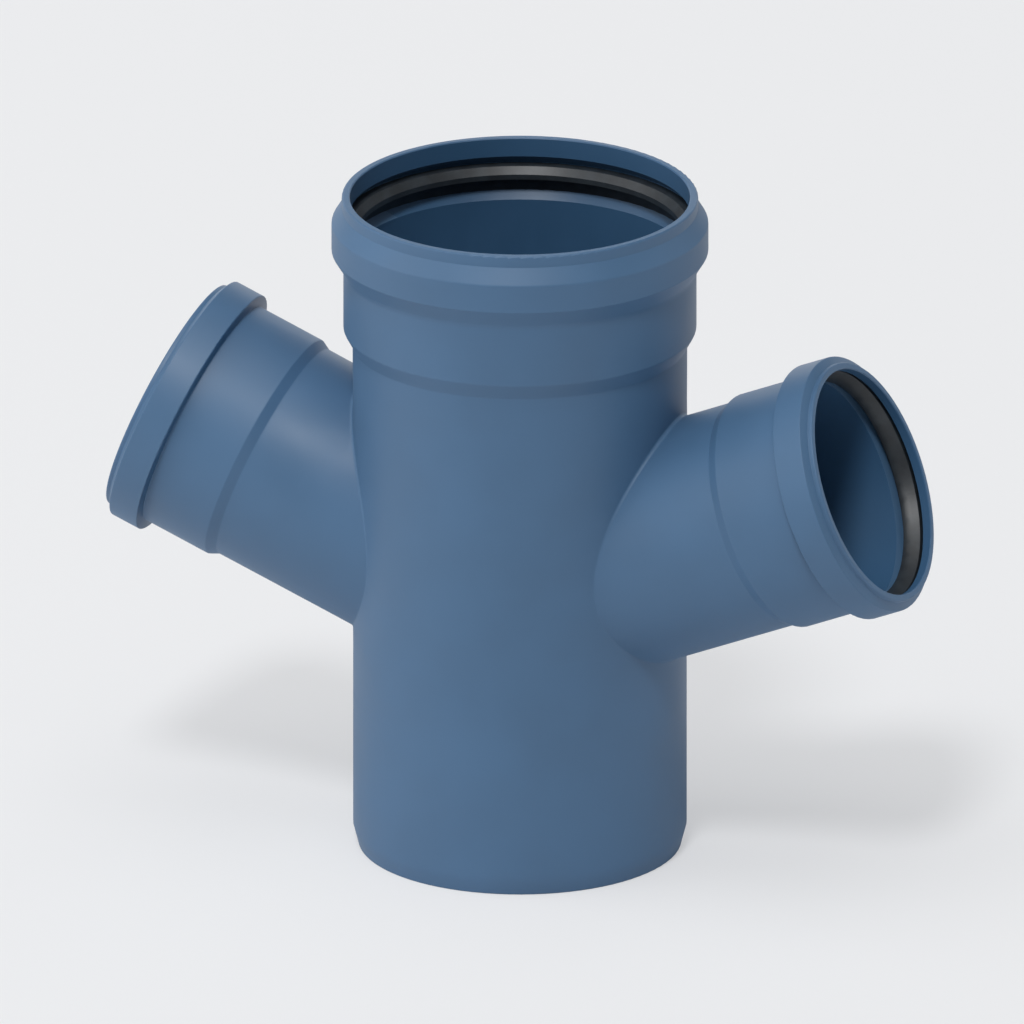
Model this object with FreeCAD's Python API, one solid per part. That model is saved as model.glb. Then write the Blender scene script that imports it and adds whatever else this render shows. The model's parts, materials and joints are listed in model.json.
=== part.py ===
import FreeCAD, Part
import math
import os

# Double branch drain fitting, one moulded piece with a rubber lip seal in each of its three sockets.
# Millimetres. The origin is the centre of the spigot end. The main pipe runs up Z, and the two branches
# leave it towards +X and -X.
# Each socket is drawn as a half section: a radius, and a depth measured back from the mouth.

# Main pipe, for pipe of 160 mm outside diameter
main_pipe_radius = 80.0
main_wall = 4.3
main_height = 328.4
spigot_length = 80.0
spigot_lead_length = 10.0
spigot_lead_depth = 2.6
spigot_edge_round = 0.6

# Main socket: outside
main_socket_clearance = 0.4
main_step_start = 66.5
main_step_length = 8.0
main_step_round = 3.0
main_bead_depth = 5.7
main_bead_end = 27.0
main_bead_taper = 9.2
main_bead_round = 1.0
main_bead_foot_round = 7.0
main_shoulder_start = 5.6
main_shoulder_length = 7.8
main_shoulder_round = 2.2
main_collar_wall = 3.9
main_collar_round = 1.0

# Main socket: inside
main_mouth_clearance = 1.6
main_mouth_land = 9.4
main_groove_start = 13.6
main_groove_end = 24.0
main_groove_taper = 7.0
main_step_lead = 2.0

# Branches, for pipe of 110 mm outside diameter. The joint height is the plain wall left between the
# spigot and the branches' joints. The neck is the plain length left between the main pipe's wall and
# the socket's step, along the branch's upper side.
branch_pipe_radius = 55.0
branch_wall = 2.7
branch_tilt = 67.5
branch_joint_height = 23.8
branch_neck_radius = 55.25
branch_neck = 26.5
branch_joint_round = 1.5

# Branch sockets: outside
branch_socket_clearance = 0.3
branch_step_start = 54.3
branch_step_length = 4.8
branch_step_round = 2.0
branch_bead_depth = 5.3
branch_bead_end = 19.4
branch_bead_taper = 0.8
branch_bead_round = 0.6
branch_bead_foot_round = 0.5
branch_shoulder_start = 2.3
branch_shoulder_length = 2.2
branch_shoulder_round = 0.7
branch_collar_wall = 3.3
branch_collar_round = 0.9

# Branch sockets: inside
branch_mouth_clearance = 1.0
branch_mouth_land = 4.4
branch_groove_start = 5.8
branch_groove_end = 16.2
branch_groove_taper = 2.6
branch_step_lead = 1.2

# Moulding draft: how much a plain outside wall grows from one end to the other
mould_draft = 0.25

# Lip seals: a heel fills the groove, and a lip hangs from its top and leans in towards the pipe.
# The gap is what stays open between the heel and the root of the lip.
main_lip_bite = 2.4
main_lip_land = 2.5
main_lip_length = 5.9
main_lip_thickness = 1.7
main_lip_gap = 1.0
main_heel_wall = 2.5
branch_lip_bite = 1.7
branch_lip_land = 2.2
branch_lip_length = 7.6
branch_lip_thickness = 1.7
branch_lip_gap = 0.9
branch_heel_wall = 1.4
seal_top_gap = 0.3
seal_edge_round = 0.4

# How far a cutting tool runs on past a face
overrun = 5.0

Y = FreeCAD.Vector(0, 1, 0)
Z = FreeCAD.Vector(0, 0, 1)
ORIGIN = FreeCAD.Vector(0, 0, 0)

# Height at which the branches' axes cross the main axis
branch_angle = math.radians(branch_tilt)
joint_drop = branch_neck_radius / math.sin(branch_angle) - main_pipe_radius / math.tan(branch_angle)
branch_crossing_height = spigot_length + branch_joint_height + joint_drop

# Distance from that crossing to a branch's mouth, along the branch
wall_crossing = main_pipe_radius + branch_neck_radius * math.cos(branch_angle)
branch_socket_length = branch_step_start + branch_step_length
branch_reach = wall_crossing / math.sin(branch_angle) + branch_neck + branch_socket_length


class Socket:
    """The radii and depths of one socket, worked out from its own values."""

    def __init__(self, pipe_radius, neck, wall, clearance, step, bead, shoulder, collar, mouth, groove):
        self.pipe_radius = pipe_radius
        self.neck = neck
        self.wall = wall
        self.bore = pipe_radius + clearance
        self.outside = self.bore + wall
        self.step_start, self.step_length, self.step_lead, self.step_round = step
        bead_depth, self.bead_end, self.bead_taper, self.bead_round, self.bead_foot_round = bead
        self.bead = self.outside + bead_depth
        self.shoulder_start, self.shoulder_length, self.shoulder_round = shoulder
        mouth_clearance, self.mouth_land = mouth
        self.mouth = pipe_radius + mouth_clearance
        collar_wall, self.collar_round = collar
        self.collar = self.mouth + collar_wall
        self.groove_start, self.groove_end, self.groove_taper = groove
        self.groove = self.bead - wall


main_socket = Socket(
    main_pipe_radius,
    main_pipe_radius,
    main_wall,
    main_socket_clearance,
    step=(main_step_start, main_step_length, main_step_lead, main_step_round),
    bead=(main_bead_depth, main_bead_end, main_bead_taper, main_bead_round, main_bead_foot_round),
    shoulder=(main_shoulder_start, main_shoulder_length, main_shoulder_round),
    collar=(main_collar_wall, main_collar_round),
    mouth=(main_mouth_clearance, main_mouth_land),
    groove=(main_groove_start, main_groove_end, main_groove_taper),
)

branch_socket = Socket(
    branch_pipe_radius,
    branch_neck_radius,
    branch_wall,
    branch_socket_clearance,
    step=(branch_step_start, branch_step_length, branch_step_lead, branch_step_round),
    bead=(branch_bead_depth, branch_bead_end, branch_bead_taper, branch_bead_round, branch_bead_foot_round),
    shoulder=(branch_shoulder_start, branch_shoulder_length, branch_shoulder_round),
    collar=(branch_collar_wall, branch_collar_round),
    mouth=(branch_mouth_clearance, branch_mouth_land),
    groove=(branch_groove_start, branch_groove_end, branch_groove_taper),
)


def rounded_outline(corners):
    """A closed face in the XZ plane. Each corner is (radius from the axis, height, rounding)."""
    points = [FreeCAD.Vector(radius, 0, height) for radius, height, rounding in corners]
    starts = []
    arcs = []
    for index, here in enumerate(points):
        rounding = corners[index][2]
        if rounding == 0:
            starts.append((here, here))
            arcs.append(None)
            continue
        back = (points[index - 1] - here).normalize()
        onward = (points[(index + 1) % len(points)] - here).normalize()
        half_angle = back.getAngle(onward) / 2
        reach = rounding / math.tan(half_angle)
        inward = (back + onward).normalize()
        centre = here + inward * (rounding / math.sin(half_angle))
        first = here + back * reach
        last = here + onward * reach
        starts.append((first, last))
        arcs.append(Part.Arc(first, centre - inward * rounding, last).toShape())
    edges = []
    for index, (first, last) in enumerate(starts):
        if arcs[index]:
            edges.append(arcs[index])
        following = starts[(index + 1) % len(starts)][0]
        edges.append(Part.LineSegment(last, following).toShape())
    return Part.Face(Part.Wire(edges))


def turned(corners):
    """The solid that a half section makes when it turns about Z."""
    return rounded_outline(corners).revolve(ORIGIN, Z, 360)


def socket_outside(socket, mouth_height):
    """Corners of a socket's outside, from the foot of its step up to the rim."""
    step_top = mouth_height - socket.step_start
    step_foot = step_top - socket.step_length
    bead_foot = mouth_height - socket.bead_end
    shoulder_top = mouth_height - socket.shoulder_start
    shoulder_foot = shoulder_top - socket.shoulder_length
    return [
        (socket.neck + mould_draft, step_foot, socket.step_round),
        (socket.outside, step_top, socket.step_round),
        (socket.outside, bead_foot - socket.bead_taper, socket.bead_foot_round),
        (socket.bead, bead_foot, socket.bead_round),
        (socket.bead, shoulder_foot, socket.shoulder_round),
        (socket.collar, shoulder_top, socket.collar_round / 2),
        (socket.collar, mouth_height, socket.collar_round),
    ]


def socket_inside(socket, mouth_height):
    """Corners of a socket's inside, from past the mouth down to its stop."""
    rim_round = socket.collar_round / 2
    land_foot = mouth_height - socket.mouth_land
    groove_top = mouth_height - socket.groove_start
    groove_foot = mouth_height - socket.groove_end
    stop_top = mouth_height - socket.step_start + socket.step_lead
    return [
        (0, mouth_height + overrun, 0),
        (socket.mouth + rim_round + overrun, mouth_height + overrun, 0),
        (socket.mouth, mouth_height - rim_round, 0),
        (socket.mouth, land_foot, 0),
        (socket.groove, groove_top, 0),
        (socket.groove, groove_foot, 0),
        (socket.bore, groove_foot - socket.groove_taper, 0),
        (socket.bore, stop_top, 0),
        (socket.neck - socket.wall, stop_top - socket.step_length, 0),
    ]


def main_outside():
    """The main pipe and its socket, filled in."""
    spigot_tip = main_pipe_radius - spigot_lead_depth
    corners = [
        (0, 0, 0),
        (spigot_tip, 0, spigot_edge_round),
        (main_pipe_radius, spigot_lead_length, 0),
        (main_pipe_radius, spigot_length, 0),
    ]
    corners += socket_outside(main_socket, main_height)
    corners += [(0, main_height, 0)]
    return turned(corners)


def main_inside():
    """The way through the main pipe, from past its mouth to past its spigot end."""
    corners = socket_inside(main_socket, main_height)
    corners += [(main_pipe_radius - main_wall, -overrun, 0), (0, -overrun, 0)]
    return turned(corners)


def branch_outside():
    """One branch, filled in, standing on the crossing point and pointing up Z."""
    corners = [(0, 0, 0), (branch_neck_radius, 0, 0)]
    corners += socket_outside(branch_socket, branch_reach)
    corners += [(0, branch_reach, 0)]
    return turned(corners)


def branch_inside():
    """The way through one branch, from past its mouth to the crossing point."""
    corners = socket_inside(branch_socket, branch_reach)
    corners += [(branch_neck_radius - branch_wall, 0, 0), (0, 0, 0)]
    return turned(corners)


def onto_branch(shape, side):
    """A shape that points up Z, laid along the right (1) or left (-1) branch."""
    placed = shape.copy()
    placed.rotate(ORIGIN, Y, side * branch_tilt)
    placed.translate(Z * branch_crossing_height)
    return placed


def joint_edges(solid):
    """The edges where the branches leave the main pipe's outside."""
    near = main_pipe_radius + mould_draft
    found = []
    for edge in solid.Edges:
        points = edge.discretize(9)
        on_main = all(abs(math.hypot(p.x, p.y) - near) < mould_draft + 0.05 for p in points)
        level = max(p.z for p in points) - min(p.z for p in points) < 1
        if on_main and not level:
            found.append(edge)
    return found


def branch_body():
    """The moulded fitting: outsides joined and blended, then the ways through cut out."""
    filled = main_outside()
    for side in (1, -1):
        filled = filled.fuse(onto_branch(branch_outside(), side))
    filled = filled.makeFillet(branch_joint_round, joint_edges(filled))
    body = filled.cut(main_inside())
    for side in (1, -1):
        body = body.cut(onto_branch(branch_inside(), side))
    return body.Solids[0]


def lip_seal(socket, mouth_height, bite, land, lip_length, thickness, gap, heel_wall):
    """A lip seal in its groove, pointing up Z."""
    top = mouth_height - socket.groove_start - seal_top_gap
    groove_foot = mouth_height - socket.groove_end
    taper_slope = socket.groove_taper / (socket.groove - socket.bore)
    heel_radius = socket.groove - heel_wall
    lip_radius = socket.pipe_radius - bite
    root_radius = heel_radius - seal_edge_round - gap
    top_radius = root_radius - thickness
    land_top = top - lip_length + land
    land_foot = top - lip_length
    root = top - thickness * 2
    corners = [
        (socket.groove, groove_foot, 0),
        (socket.groove, top, seal_edge_round),
        (top_radius, top, seal_edge_round),
        (lip_radius, land_top, 0),
        (lip_radius, land_foot, 0),
        (lip_radius + thickness, land_foot + seal_edge_round, seal_edge_round),
        (root_radius, root, seal_edge_round),
        (heel_radius - seal_edge_round, root, seal_edge_round),
        (heel_radius, groove_foot - heel_wall * taper_slope, 0),
    ]
    return turned(corners)


def main_seal():
    return lip_seal(
        main_socket,
        main_height,
        main_lip_bite,
        main_lip_land,
        main_lip_length,
        main_lip_thickness,
        main_lip_gap,
        main_heel_wall,
    )


def branch_seal():
    return lip_seal(
        branch_socket,
        branch_reach,
        branch_lip_bite,
        branch_lip_land,
        branch_lip_length,
        branch_lip_thickness,
        branch_lip_gap,
        branch_heel_wall,
    )


parts = {
    "branch_body": branch_body(),
    "main_socket_seal": main_seal(),
    "right_socket_seal": onto_branch(branch_seal(), 1),
    "left_socket_seal": onto_branch(branch_seal(), -1),
}

os.makedirs("parts", exist_ok=True)
for name, shape in parts.items():
    shape.exportStep("parts/" + name + ".step")
    box = shape.BoundBox
    print(name, len(shape.Solids), "solid", round(shape.Volume / 1000, 2), "cm3", shape.isValid())
    print("  X", round(box.XMin, 2), round(box.XMax, 2), "Y", round(box.YMin, 2), round(box.YMax, 2))
    print("  Z", round(box.ZMin, 2), round(box.ZMax, 2))
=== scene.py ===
import json
import math

import bpy
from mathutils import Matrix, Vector

# Double branch drain fitting: one blue polypropylene moulding, standing on its spigot, with a black
# rubber lip seal in each of its three sockets. The solids come from the frame as they are, so this
# script gives them smooth shading and their finish, and sets up the studio round them.

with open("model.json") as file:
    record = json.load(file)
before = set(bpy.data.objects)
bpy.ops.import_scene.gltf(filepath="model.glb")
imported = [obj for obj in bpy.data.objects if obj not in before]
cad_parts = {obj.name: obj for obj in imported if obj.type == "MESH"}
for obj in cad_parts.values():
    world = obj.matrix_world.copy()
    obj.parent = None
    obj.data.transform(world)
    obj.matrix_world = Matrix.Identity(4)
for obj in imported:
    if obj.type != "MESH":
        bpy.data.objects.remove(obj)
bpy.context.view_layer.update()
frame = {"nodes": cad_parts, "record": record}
print("frame loaded:", ", ".join(sorted(frame["nodes"])))

millimetre = 0.001


# Helpers

def linearColour(hexColour):
    channels = [int(hexColour[i:i + 2], 16) / 255 for i in (1, 3, 5)]
    linear = [c / 12.92 if c <= 0.04045 else ((c + 0.055) / 1.055) ** 2.4 for c in channels]
    return (*linear, 1.0)


def directionFrom(azimuth, elevation):
    # Azimuth 0 is in front of the fitting and 90 is at its right, in degrees
    a = math.radians(azimuth)
    e = math.radians(elevation)
    return Vector((math.sin(a) * math.cos(e), -math.cos(a) * math.cos(e), math.sin(e)))


def addNode(tree, kind, settings=None, links=None):
    # A setting is a value for the input socket of that name or number, or else a property of the node.
    # A link joins an input socket to another node's output socket.
    node = tree.nodes.new(kind)
    for key, value in (settings or {}).items():
        if isinstance(key, int) or key in node.inputs:
            node.inputs[key].default_value = value
        else:
            setattr(node, key, value)
    for key, source in (links or {}).items():
        tree.links.new(source, node.inputs[key])
    return node


def newMaterial(name):
    material = bpy.data.materials.new(name)
    material.use_nodes = True
    material.node_tree.nodes.clear()
    return material, material.node_tree


# Body: polypropylene, injection moulded. The outside comes off spark-eroded cavities, so it is an even
# satin blue with a fine grain that keeps highlights broad and soft. The inside comes off polished
# cores, so it is a little glossier, and its colour is a deeper blue that is painted shade for the dark
# insides of the bores. Sizes and heights are in millimetres, and the
# flow's edges are the noise values between which one colour gives way to the other.

bodyFinish = {
    "outside": {"colour": "#486a8c", "flowColour": "#456687", "roughness": 0.52, "grainHeight": 0.012},
    # The inside's deeper blue is painted shade: it darkens the bores in their colour, not by the light
    "inside": {"colour": "#375c7f", "flowColour": "#35597b", "roughness": 0.47, "grainHeight": 0.005},
    "flowSize": 45,
    "flowEdges": (0.35, 0.65),
    "glossEdges": (0.3, 0.7),
    "roughnessSpread": 0.05,
    "refraction": 1.49,
    "grainPitch": 1.1,
}


def mouldedPolypropylene(name, finish):
    material, tree = newMaterial(name)
    place = addNode(tree, "ShaderNodeTexCoord")
    # Masterbatch flow: clouds of slightly darker blue, a few centimetres across
    flow = addNode(tree, "ShaderNodeTexNoise",
                   {"Scale": 1 / (bodyFinish["flowSize"] * millimetre), "Detail": 3.0, "Roughness": 0.45},
                   {"Vector": place.outputs["Object"]})
    colours = addNode(tree, "ShaderNodeValToRGB", links={"Fac": flow.outputs["Fac"]})
    colours.color_ramp.elements[0].position = bodyFinish["flowEdges"][0]
    colours.color_ramp.elements[0].color = linearColour(finish["flowColour"])
    colours.color_ramp.elements[1].position = bodyFinish["flowEdges"][1]
    colours.color_ramp.elements[1].color = linearColour(finish["colour"])
    # The same clouds are a little glossier or duller
    gloss = addNode(tree, "ShaderNodeMapRange",
                    {"From Min": bodyFinish["glossEdges"][0], "From Max": bodyFinish["glossEdges"][1],
                     "To Min": finish["roughness"] - bodyFinish["roughnessSpread"],
                     "To Max": finish["roughness"] + bodyFinish["roughnessSpread"]},
                    {"Value": flow.outputs["Fac"]})
    # Spark grain: its real pitch is about 0.2 mm, too fine to show, so it is drawn at about 1 mm
    grain = addNode(tree, "ShaderNodeTexNoise",
                    {"Scale": 1 / (bodyFinish["grainPitch"] * millimetre), "Detail": 2.0, "Roughness": 0.6},
                    {"Vector": place.outputs["Object"]})
    grainBump = addNode(tree, "ShaderNodeBump",
                        {"Strength": 1.0, "Distance": finish["grainHeight"] * millimetre},
                        {"Height": grain.outputs["Fac"]})
    plastic = addNode(tree, "ShaderNodeBsdfPrincipled",
                      {"IOR": bodyFinish["refraction"], "Metallic": 0.0},
                      {"Base Color": colours.outputs["Color"], "Roughness": gloss.outputs["Result"],
                       "Normal": grainBump.outputs["Normal"]})
    addNode(tree, "ShaderNodeOutputMaterial", links={"Surface": plastic.outputs["BSDF"]})
    return material


# Seals: black rubber, compression moulded and lightly greased. It is nearly black in the shade, and its
# waxy bloom and grease turn it grey where it faces the light. Sizes and depths are in millimetres.

sealFinish = {
    "colour": "#23282d",
    "bloomColour": "#2e353b",
    "bloomSize": 9,
    "bloomEdges": (0.4, 0.7),
    "roughness": 0.44,
    "refraction": 1.52,
    "poreSize": 1.0,
    "poreDepth": 0.03,
}


def mouldedRubber():
    finish = sealFinish
    material, tree = newMaterial("mouldedRubber")
    place = addNode(tree, "ShaderNodeTexCoord")
    bloom = addNode(tree, "ShaderNodeTexNoise",
                    {"Scale": 1 / (finish["bloomSize"] * millimetre), "Detail": 4.0, "Roughness": 0.55},
                    {"Vector": place.outputs["Object"]})
    colours = addNode(tree, "ShaderNodeValToRGB", links={"Fac": bloom.outputs["Fac"]})
    colours.color_ramp.elements[0].position = finish["bloomEdges"][0]
    colours.color_ramp.elements[0].color = linearColour(finish["colour"])
    colours.color_ramp.elements[1].position = finish["bloomEdges"][1]
    colours.color_ramp.elements[1].color = linearColour(finish["bloomColour"])
    # Pores: real ones are a few hundredths of a millimetre wide, so they are drawn coarser to show
    pores = addNode(tree, "ShaderNodeTexNoise",
                    {"Scale": 1 / (finish["poreSize"] * millimetre), "Detail": 3.0},
                    {"Vector": place.outputs["Object"]})
    bump = addNode(tree, "ShaderNodeBump",
                   {"Strength": 1.0, "Distance": finish["poreDepth"] * millimetre},
                   {"Height": pores.outputs["Fac"]})
    rubber = addNode(tree, "ShaderNodeBsdfPrincipled",
                     {"IOR": finish["refraction"], "Roughness": finish["roughness"]},
                     {"Base Color": colours.outputs["Color"], "Normal": bump.outputs["Normal"]})
    addNode(tree, "ShaderNodeOutputMaterial", links={"Surface": rubber.outputs["BSDF"]})
    return material


# The three ways through the body, each with a point on its axis and its direction, are the bores that
# the frame's record names

bodyAxes = [(Vector(mount["pos_m"]), Vector(mount["axis"]))
            for mount in frame["record"]["mounts"] if mount["kind"] == "bore"]


def facesInwards(centre, normal):
    # The axis that the face turns about is the one it looks most squarely at, or away from
    squareness = []
    for point, direction in bodyAxes:
        arm = centre - point
        arm -= direction * arm.dot(direction)
        squareness.append(arm.normalized().dot(normal))
    return min(squareness) < -max(squareness)


# Shading of the body and seals. The frame's faces meet at doubled points, which are welded within a few
# thousandths of a millimetre, and an edge sharper than the crisp angle, in degrees, stays crisp.

pieceShading = {
    "weldWithin": 0.002,
    "crispAngle": 32,
}


def smoothShading(node):
    node.data.polygons.foreach_set("use_smooth", [True] * len(node.data.polygons))
    weld = node.modifiers.new("weldSeams", "WELD")
    weld.merge_threshold = pieceShading["weldWithin"] * millimetre
    split = node.modifiers.new("crispEdges", "EDGE_SPLIT")
    split.split_angle = math.radians(pieceShading["crispAngle"])
    split.use_edge_sharp = False
    evened = node.modifiers.new("evenNormals", "WEIGHTED_NORMAL")
    evened.keep_sharp = True


body = frame["nodes"]["branch_body"]
body.data.materials.clear()
body.data.materials.append(mouldedPolypropylene("mouldedPolypropylene", bodyFinish["outside"]))
# The second material is a darker copy of the first, so the inward faces carry painted shade
body.data.materials.append(mouldedPolypropylene("polishedPolypropyleneWithPaintedShade", bodyFinish["inside"]))
insides = [int(facesInwards(face.center, face.normal)) for face in body.data.polygons]
body.data.polygons.foreach_set("material_index", insides)
smoothShading(body)
print("body finished:", sum(insides), "of", len(insides), "faces are inside")

rubber = mouldedRubber()
for sealName in ("main_socket_seal", "right_socket_seal", "left_socket_seal"):
    seal = frame["nodes"][sealName]
    seal.data.materials.clear()
    seal.data.materials.append(rubber)
    smoothShading(seal)
print("seals finished")


# Floor: a sheet of matt white board, large enough to fill the view. Its size is in metres. Its own share
# is the part of its paleness that the camera sees whatever the light, so that the shadows stay light.

floorSheet = {
    "colour": "#eaebed",
    "roughness": 0.9,
    "ownShare": 0.56,
    "size": 16.0,
}


def paintedBoard():
    material, tree = newMaterial("paintedBoard")
    board = addNode(tree, "ShaderNodeBsdfPrincipled",
                    {"Base Color": linearColour(floorSheet["colour"]), "Roughness": floorSheet["roughness"],
                     "Specular IOR Level": 0.0})
    glow = addNode(tree, "ShaderNodeEmission",
                   {"Color": linearColour(floorSheet["colour"]), "Strength": 1.0})
    rays = addNode(tree, "ShaderNodeLightPath")
    share = addNode(tree, "ShaderNodeMath", {"operation": "MULTIPLY", 1: floorSheet["ownShare"]},
                    {0: rays.outputs["Is Camera Ray"]})
    both = addNode(tree, "ShaderNodeMixShader",
                   links={0: share.outputs["Value"], 1: board.outputs["BSDF"], 2: glow.outputs["Emission"]})
    addNode(tree, "ShaderNodeOutputMaterial", links={"Surface": both.outputs["Shader"]})
    return material


half = floorSheet["size"] / 2
floorCorners = [(-half, -half, 0), (half, -half, 0), (half, half, 0), (-half, half, 0)]
floorMesh = bpy.data.meshes.new("floor")
floorMesh.from_pydata(floorCorners, [], [(0, 1, 2, 3)])
floorMesh.materials.append(paintedBoard())
floor = bpy.data.objects.new("floor", floorMesh)
bpy.context.scene.collection.objects.link(floor)
print("floor laid")


# Studio light. A level of 1 lights a white card that faces the lamp to full white. Distances, widths and
# heights are in metres, and angles are in degrees.

fullWhite = math.pi  # watts on each square metre of the card

studio = {
    "centre": Vector((0, 0, 0.16)),
    "distance": 4.0,
    "worldLevel": 0.165,
    "backgroundColour": "#eaebed",
}

keyLamp = {"azimuth": 8, "elevation": 54, "level": 0.435, "softness": 12}

softboxes = {
    "overhead": {"azimuth": 20, "elevation": 89, "level": 0.21, "width": 3.0, "height": 3.0},
    "frontTop": {"azimuth": 20, "elevation": 65, "level": 0.15, "width": 3.0, "height": 3.0},
    "leftLow": {"azimuth": -60, "elevation": 12, "level": 0.27, "width": 5.0, "height": 1.6},
    "leftHigh": {"azimuth": -70, "elevation": 40, "level": 0.20, "width": 3.0, "height": 2.0},
    "backLow": {"azimuth": 205, "elevation": 12, "level": 0.25, "width": 5.0, "height": 1.6},
    "rightLow": {"azimuth": 120, "elevation": 12, "level": 0.11, "width": 3.0, "height": 1.6},
}


def aimAtFitting(name, light, settings):
    lamp = bpy.data.objects.new(name, light)
    direction = directionFrom(settings["azimuth"], settings["elevation"])
    lamp.location = studio["centre"] + direction * studio["distance"]
    lamp.rotation_euler = direction.to_track_quat("Z", "Y").to_euler()
    bpy.context.scene.collection.objects.link(lamp)


keyLight = bpy.data.lights.new("key", "SUN")
keyLight.energy = keyLamp["level"] * fullWhite
keyLight.angle = math.radians(keyLamp["softness"])
aimAtFitting("key", keyLight, keyLamp)
for name, box in softboxes.items():
    light = bpy.data.lights.new(name, "AREA")
    light.shape = "RECTANGLE"
    light.size = box["width"]
    light.size_y = box["height"]
    light.energy = box["level"] * fullWhite * math.pi * studio["distance"] ** 2
    aimAtFitting(name, light, box)


# World: a weak even fill, and the pale background where the camera sees past the floor

world = bpy.data.worlds.new("studioWorld")
bpy.context.scene.world = world
world.use_nodes = True
worldTree = world.node_tree
worldTree.nodes.clear()
rays = addNode(worldTree, "ShaderNodeLightPath")
fill = addNode(worldTree, "ShaderNodeBackground", {"Color": (1, 1, 1, 1), "Strength": studio["worldLevel"]})
backdrop = addNode(worldTree, "ShaderNodeBackground",
                   {"Color": linearColour(studio["backgroundColour"]), "Strength": 1.0})
either = addNode(worldTree, "ShaderNodeMixShader",
                 links={0: rays.outputs["Is Camera Ray"], 1: fill.outputs["Background"],
                        2: backdrop.outputs["Background"]})
addNode(worldTree, "ShaderNodeOutputWorld", links={"Surface": either.outputs["Shader"]})
print("lights set")


# Camera: looks down at the fitting from its front right, with no perspective. Angles are in degrees,
# and the view's width, its shifts and the distance are in metres.

cameraView = {
    "azimuth": 20,
    "elevation": 20,
    "viewWidth": 0.491,
    "shiftRight": -0.00381,
    "shiftUp": 0.1571,
    "distance": 3.0,
}

towardsCamera = directionFrom(cameraView["azimuth"], cameraView["elevation"])
lookRotation = towardsCamera.to_track_quat("Z", "Y")
viewCentre = lookRotation @ Vector((cameraView["shiftRight"], cameraView["shiftUp"], 0))
cameraLens = bpy.data.cameras.new("camera")
cameraLens.type = "ORTHO"
cameraLens.ortho_scale = cameraView["viewWidth"]
camera = bpy.data.objects.new("camera", cameraLens)
camera.location = viewCentre + towardsCamera * cameraView["distance"]
camera.rotation_euler = lookRotation.to_euler()
bpy.context.scene.collection.objects.link(camera)
bpy.context.scene.camera = camera
bpy.context.scene.view_settings.view_transform = "Standard"
print("camera set")
